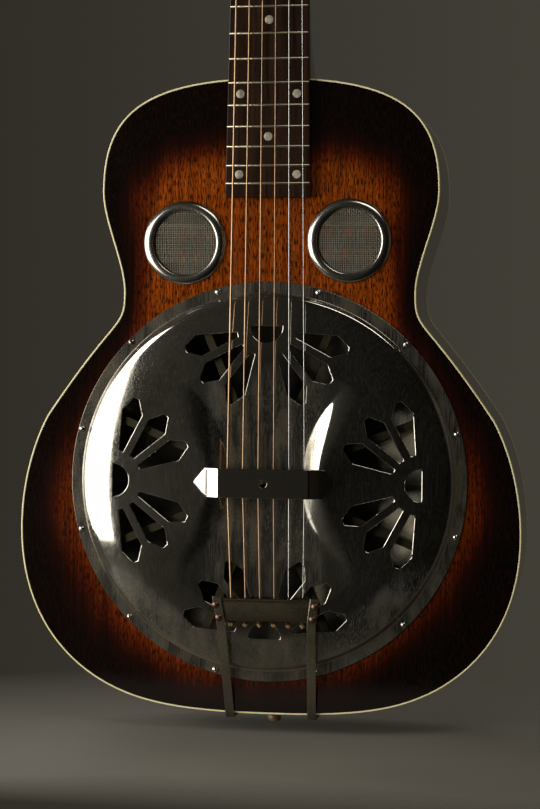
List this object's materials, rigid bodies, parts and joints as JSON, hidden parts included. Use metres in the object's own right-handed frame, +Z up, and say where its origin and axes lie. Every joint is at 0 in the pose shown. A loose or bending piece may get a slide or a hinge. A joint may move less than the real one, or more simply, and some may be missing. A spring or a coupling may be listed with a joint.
{
  "type": "resonator guitar",
  "caption": "Round-neck wooden resonator guitar: pressed metal coverplate over a spider bridge and cone, screened sound holes, strap tailpiece, geared tuners.",
  "frame": {"origin": "where a wall hanger's yoke meets the back of the neck, just under the nut", "axes": "+Z up along the neck, -Y out of the soundboard towards the player's view, +X to the treble side"},
  "size_m": [0.3618, 0.1026, 0.9869],
  "materials": {
    "mahogany": "gloss sunburst lacquer over mahogany",
    "bare_wood": "unfinished",
    "binding": "aged cream celluloid",
    "nickel": "aged nickel plate",
    "spun_aluminium": "spun",
    "rosewood": "oiled",
    "overlay": "black gloss",
    "bone": "polished bone",
    "maple": "bare",
    "wound_bronze": "wound bronze",
    "steel": "plain steel",
    "cream_plastic": "aged cream"
  },
  "bodies": {
    "guitar": {"soundboard": "mahogany", "back": "mahogany", "bass_side": "mahogany", "treble_side": "mahogany", "top_binding": "binding", "back_binding": "binding", "top_lining": "bare_wood", "back_lining": "bare_wood", "neck_block": "bare_wood", "tail_block": "bare_wood", "neck_dowel": "bare_wood", "soundboard_brace": "bare_wood", "back_brace": "bare_wood", "soundwell": "bare_wood", "resonator_cone": "spun_aluminium", "spider_bridge": "spun_aluminium", "bass_saddle": "maple", "treble_saddle": "maple", "coverplate": "nickel", "hand_rest": "nickel", "bass_screen_ring": "nickel", "treble_screen_ring": "nickel", "bass_screen": "nickel", "treble_screen": "nickel", "neck": "mahogany", "headstock_overlay": "overlay", "fingerboard": "rosewood", "nut": "bone", "tailpiece_plate": "nickel", "tailpiece_leg_bass": "nickel", "tailpiece_leg_treble": "nickel", "tail_bracket": "nickel", "end_pin": "cream_plastic", "bass_tuner_plate": "nickel", "treble_tuner_plate": "nickel", "string_6": "wound_bronze", "string_5": "wound_bronze", "string_4": "wound_bronze", "string_3": "wound_bronze", "string_2": "steel", "string_1": "steel"},
    "tension_screw": {"tension_screw": "steel"},
    "tuner_6": {"worm_shaft_6": "steel", "tuner_button_6": "cream_plastic"},
    "post_6": {"string_post_6": "steel"},
    "tuner_5": {"worm_shaft_5": "steel", "tuner_button_5": "cream_plastic"},
    "post_5": {"string_post_5": "steel"},
    "tuner_4": {"worm_shaft_4": "steel", "tuner_button_4": "cream_plastic"},
    "post_4": {"string_post_4": "steel"},
    "tuner_3": {"worm_shaft_3": "steel", "tuner_button_3": "cream_plastic"},
    "post_3": {"string_post_3": "steel"},
    "tuner_2": {"worm_shaft_2": "steel", "tuner_button_2": "cream_plastic"},
    "post_2": {"string_post_2": "steel"},
    "tuner_1": {"worm_shaft_1": "steel", "tuner_button_1": "cream_plastic"},
    "post_1": {"string_post_1": "steel"}
  },
  "joints": [
    {"name": "tension_screw_turn", "type": "hinge", "parent": "guitar", "child": "tension_screw", "pos_m": [0, -0.0155, -0.627], "axis": [0, -1, 0], "range_deg": [-360, 360]},
    {"name": "tuner_6_turn", "type": "hinge", "parent": "guitar", "child": "tuner_6", "pos_m": [-0.0195, 0.01707, 0.06392], "axis": [-1, 0, 0], "continuous": true},
    {"name": "post_6_turn", "type": "hinge", "parent": "guitar", "child": "post_6", "pos_m": [-0.0195, -0.00389, 0.06007], "axis": [0, -0.9703, 0.2419], "continuous": true},
    {"name": "tuner_5_turn", "type": "hinge", "parent": "guitar", "child": "tuner_5", "pos_m": [-0.0195, 0.02577, 0.09885], "axis": [-1, 0, 0], "continuous": true},
    {"name": "post_5_turn", "type": "hinge", "parent": "guitar", "child": "post_5", "pos_m": [-0.0195, 0.00482, 0.09501], "axis": [0, -0.9703, 0.2419], "continuous": true},
    {"name": "tuner_4_turn", "type": "hinge", "parent": "guitar", "child": "tuner_4", "pos_m": [-0.0195, 0.03448, 0.13378], "axis": [-1, 0, 0], "continuous": true},
    {"name": "post_4_turn", "type": "hinge", "parent": "guitar", "child": "post_4", "pos_m": [-0.0195, 0.01353, 0.12993], "axis": [0, -0.9703, 0.2419], "continuous": true},
    {"name": "tuner_3_turn", "type": "hinge", "parent": "guitar", "child": "tuner_3", "pos_m": [0.0195, 0.03448, 0.13378], "axis": [1, 0, 0], "continuous": true},
    {"name": "post_3_turn", "type": "hinge", "parent": "guitar", "child": "post_3", "pos_m": [0.0195, 0.01353, 0.12993], "axis": [0, -0.9703, 0.2419], "continuous": true},
    {"name": "tuner_2_turn", "type": "hinge", "parent": "guitar", "child": "tuner_2", "pos_m": [0.0195, 0.02577, 0.09885], "axis": [1, 0, 0], "continuous": true},
    {"name": "post_2_turn", "type": "hinge", "parent": "guitar", "child": "post_2", "pos_m": [0.0195, 0.00482, 0.09501], "axis": [0, -0.9703, 0.2419], "continuous": true},
    {"name": "tuner_1_turn", "type": "hinge", "parent": "guitar", "child": "tuner_1", "pos_m": [0.0195, 0.01707, 0.06392], "axis": [1, 0, 0], "continuous": true},
    {"name": "post_1_turn", "type": "hinge", "parent": "guitar", "child": "post_1", "pos_m": [0.0195, -0.00389, 0.06007], "axis": [0, -0.9703, 0.2419], "continuous": true}
  ],
  "couplings": [
    {"joint": "post_6_turn", "follows": "tuner_6_turn", "ratio": -0.071429},
    {"joint": "post_5_turn", "follows": "tuner_5_turn", "ratio": -0.071429},
    {"joint": "post_4_turn", "follows": "tuner_4_turn", "ratio": -0.071429},
    {"joint": "post_3_turn", "follows": "tuner_3_turn", "ratio": 0.071429},
    {"joint": "post_2_turn", "follows": "tuner_2_turn", "ratio": 0.071429},
    {"joint": "post_1_turn", "follows": "tuner_1_turn", "ratio": 0.071429}
  ]
}
